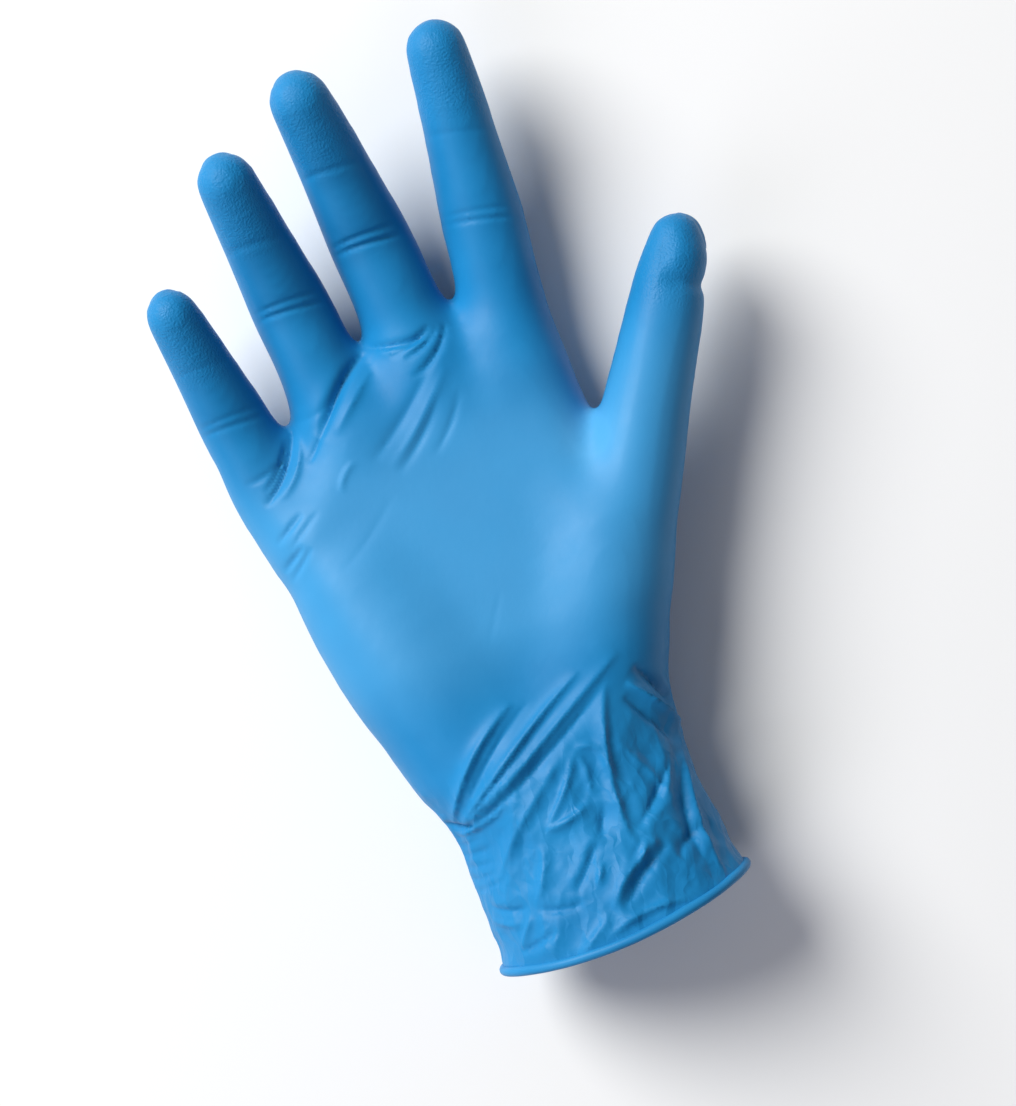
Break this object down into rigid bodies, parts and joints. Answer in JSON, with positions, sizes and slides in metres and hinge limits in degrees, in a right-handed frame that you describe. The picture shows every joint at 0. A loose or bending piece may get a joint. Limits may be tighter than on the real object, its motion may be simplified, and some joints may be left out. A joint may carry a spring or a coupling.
{
  "type": "disposable nitrile glove",
  "caption": "Thin dipped nitrile glove with a beaded cuff, shown palm up in the shape of the hand that wears it; its fingers, thumb and wrist bend.",
  "frame": {"origin": "centre of the cuff mouth", "axes": "+Y from the cuff to the fingertips, +X to the thumb side, +Z out of the palm"},
  "size_m": [0.1387, 0.2285, 0.0484],
  "materials": {
    "film": "satin",
    "bead": "satin"
  },
  "bodies": {
    "hand": {"palm_shell": "film", "thenar_crease": "film", "wrist_gather": "film", "index_root_crease": "film", "middle_root_crease": "film", "ring_root_crease": "film", "little_root_crease": "film"},
    "cuff": {"cuff_sleeve": "film", "cuff_bead": "bead"},
    "index_proximal": {"index_proximal_stall": "film", "index_middle_crease": "film"},
    "index_middle": {"index_middle_stall": "film", "index_tip_crease": "film"},
    "index_tip": {"index_fingertip": "film"},
    "middle_proximal": {"middle_proximal_stall": "film", "middle_middle_crease": "film"},
    "middle_middle": {"middle_middle_stall": "film", "middle_tip_crease": "film"},
    "middle_tip": {"middle_fingertip": "film"},
    "ring_proximal": {"ring_proximal_stall": "film", "ring_middle_crease": "film"},
    "ring_middle": {"ring_middle_stall": "film", "ring_tip_crease": "film"},
    "ring_tip": {"ring_fingertip": "film"},
    "little_proximal": {"little_proximal_stall": "film", "little_middle_crease": "film"},
    "little_middle": {"little_middle_stall": "film", "little_tip_crease": "film"},
    "little_tip": {"little_fingertip": "film"},
    "thumb_base": {"thumb_base": "film", "thumb_root_crease": "film"},
    "thumb_proximal": {"thumb_stall": "film", "thumb_tip_crease": "film"},
    "thumb_tip": {"thumb_tip": "film"}
  },
  "joints": [
    {"name": "wrist_bend", "type": "hinge", "parent": "hand", "child": "cuff", "pos_m": [-0.0018, 0.043, -0.0045], "axis": [1, 0, 0], "range_deg": [-45, 45], "stiffness_Nm_per_rad": 0.006, "deforming": ["wrist_gather"]},
    {"name": "index_root_bend", "type": "hinge", "parent": "hand", "child": "index_proximal", "pos_m": [0.0285, 0.155, -0.012], "axis": [0.9925, -0.1219, 0], "range_deg": [-15, 60], "stiffness_Nm_per_rad": 0.003, "deforming": ["index_root_crease"]},
    {"name": "index_middle_bend", "type": "hinge", "parent": "index_proximal", "child": "index_middle", "pos_m": [0.03137, 0.17839, -0.00869], "axis": [0.9925, -0.1219, 0], "range_deg": [-6, 55], "stiffness_Nm_per_rad": 0.002, "deforming": ["index_middle_crease"]},
    {"name": "index_tip_bend", "type": "hinge", "parent": "index_middle", "child": "index_tip", "pos_m": [0.03395, 0.19935, -0.00342], "axis": [0.9925, -0.1219, 0], "range_deg": [-8, 35], "stiffness_Nm_per_rad": 0.001, "deforming": ["index_tip_crease"]},
    {"name": "middle_root_bend", "type": "hinge", "parent": "hand", "child": "middle_proximal", "pos_m": [0.0045, 0.16, -0.012], "axis": [0.9976, 0.0698, 0], "range_deg": [-15, 60], "stiffness_Nm_per_rad": 0.003, "deforming": ["middle_root_crease"]},
    {"name": "middle_middle_bend", "type": "hinge", "parent": "middle_proximal", "child": "middle_middle", "pos_m": [0.00289, 0.18304, -0.00793], "axis": [0.9976, 0.0698, 0], "range_deg": [-22, 55], "stiffness_Nm_per_rad": 0.002, "deforming": ["middle_middle_crease"]},
    {"name": "middle_tip_bend", "type": "hinge", "parent": "middle_middle", "child": "middle_tip", "pos_m": [0.00162, 0.20117, 0.00343], "axis": [0.9976, 0.0698, 0], "range_deg": [-8, 35], "stiffness_Nm_per_rad": 0.001, "deforming": ["middle_tip_crease"]},
    {"name": "ring_root_bend", "type": "hinge", "parent": "hand", "child": "ring_proximal", "pos_m": [-0.0195, 0.154, -0.012], "axis": [0.9976, 0.0698, 0], "range_deg": [-15, 60], "stiffness_Nm_per_rad": 0.003, "deforming": ["ring_root_crease"]},
    {"name": "ring_middle_bend", "type": "hinge", "parent": "ring_proximal", "child": "ring_middle", "pos_m": [-0.02096, 0.17483, -0.00756], "axis": [0.9976, 0.0698, 0], "range_deg": [-20, 55], "stiffness_Nm_per_rad": 0.002, "deforming": ["ring_middle_crease"]},
    {"name": "ring_tip_bend", "type": "hinge", "parent": "ring_middle", "child": "ring_tip", "pos_m": [-0.02211, 0.19135, 0.00278], "axis": [0.9976, 0.0698, 0], "range_deg": [-8, 35], "stiffness_Nm_per_rad": 0.001, "deforming": ["ring_tip_crease"]},
    {"name": "little_root_bend", "type": "hinge", "parent": "hand", "child": "little_proximal", "pos_m": [-0.0435, 0.136, -0.012], "axis": [0.9945, 0.1045, 0], "range_deg": [-15, 60], "stiffness_Nm_per_rad": 0.003, "deforming": ["little_root_crease"]},
    {"name": "little_middle_bend", "type": "hinge", "parent": "little_proximal", "child": "little_middle", "pos_m": [-0.04536, 0.15371, -0.00822], "axis": [0.9945, 0.1045, 0], "range_deg": [-16, 55], "stiffness_Nm_per_rad": 0.002, "deforming": ["little_middle_crease"]},
    {"name": "little_tip_bend", "type": "hinge", "parent": "little_middle", "child": "little_tip", "pos_m": [-0.0469, 0.16832, -0.0004], "axis": [0.9945, 0.1045, 0], "range_deg": [-8, 35], "stiffness_Nm_per_rad": 0.001, "deforming": ["little_tip_crease"]},
    {"name": "thumb_swing", "type": "hinge", "parent": "hand", "child": "thumb_base", "pos_m": [0.031, 0.092, 0], "axis": [-0.309, -0.9511, 0], "range_deg": [-20, 20], "stiffness_Nm_per_rad": 0.004, "deforming": ["thenar_crease"]},
    {"name": "thumb_root_bend", "type": "hinge", "parent": "thumb_base", "child": "thumb_proximal", "pos_m": [0.053, 0.119, -0.002], "axis": [-0.5092, 0.3944, -0.7649], "range_deg": [-50, 10], "stiffness_Nm_per_rad": 0.003, "deforming": ["thumb_root_crease"]},
    {"name": "thumb_tip_bend", "type": "hinge", "parent": "thumb_proximal", "child": "thumb_tip", "pos_m": [0.06585, 0.13879, -0.00035], "axis": [-0.5092, 0.3944, -0.7649], "range_deg": [-50, 10], "stiffness_Nm_per_rad": 0.001, "deforming": ["thumb_tip_crease"]}
  ]
}
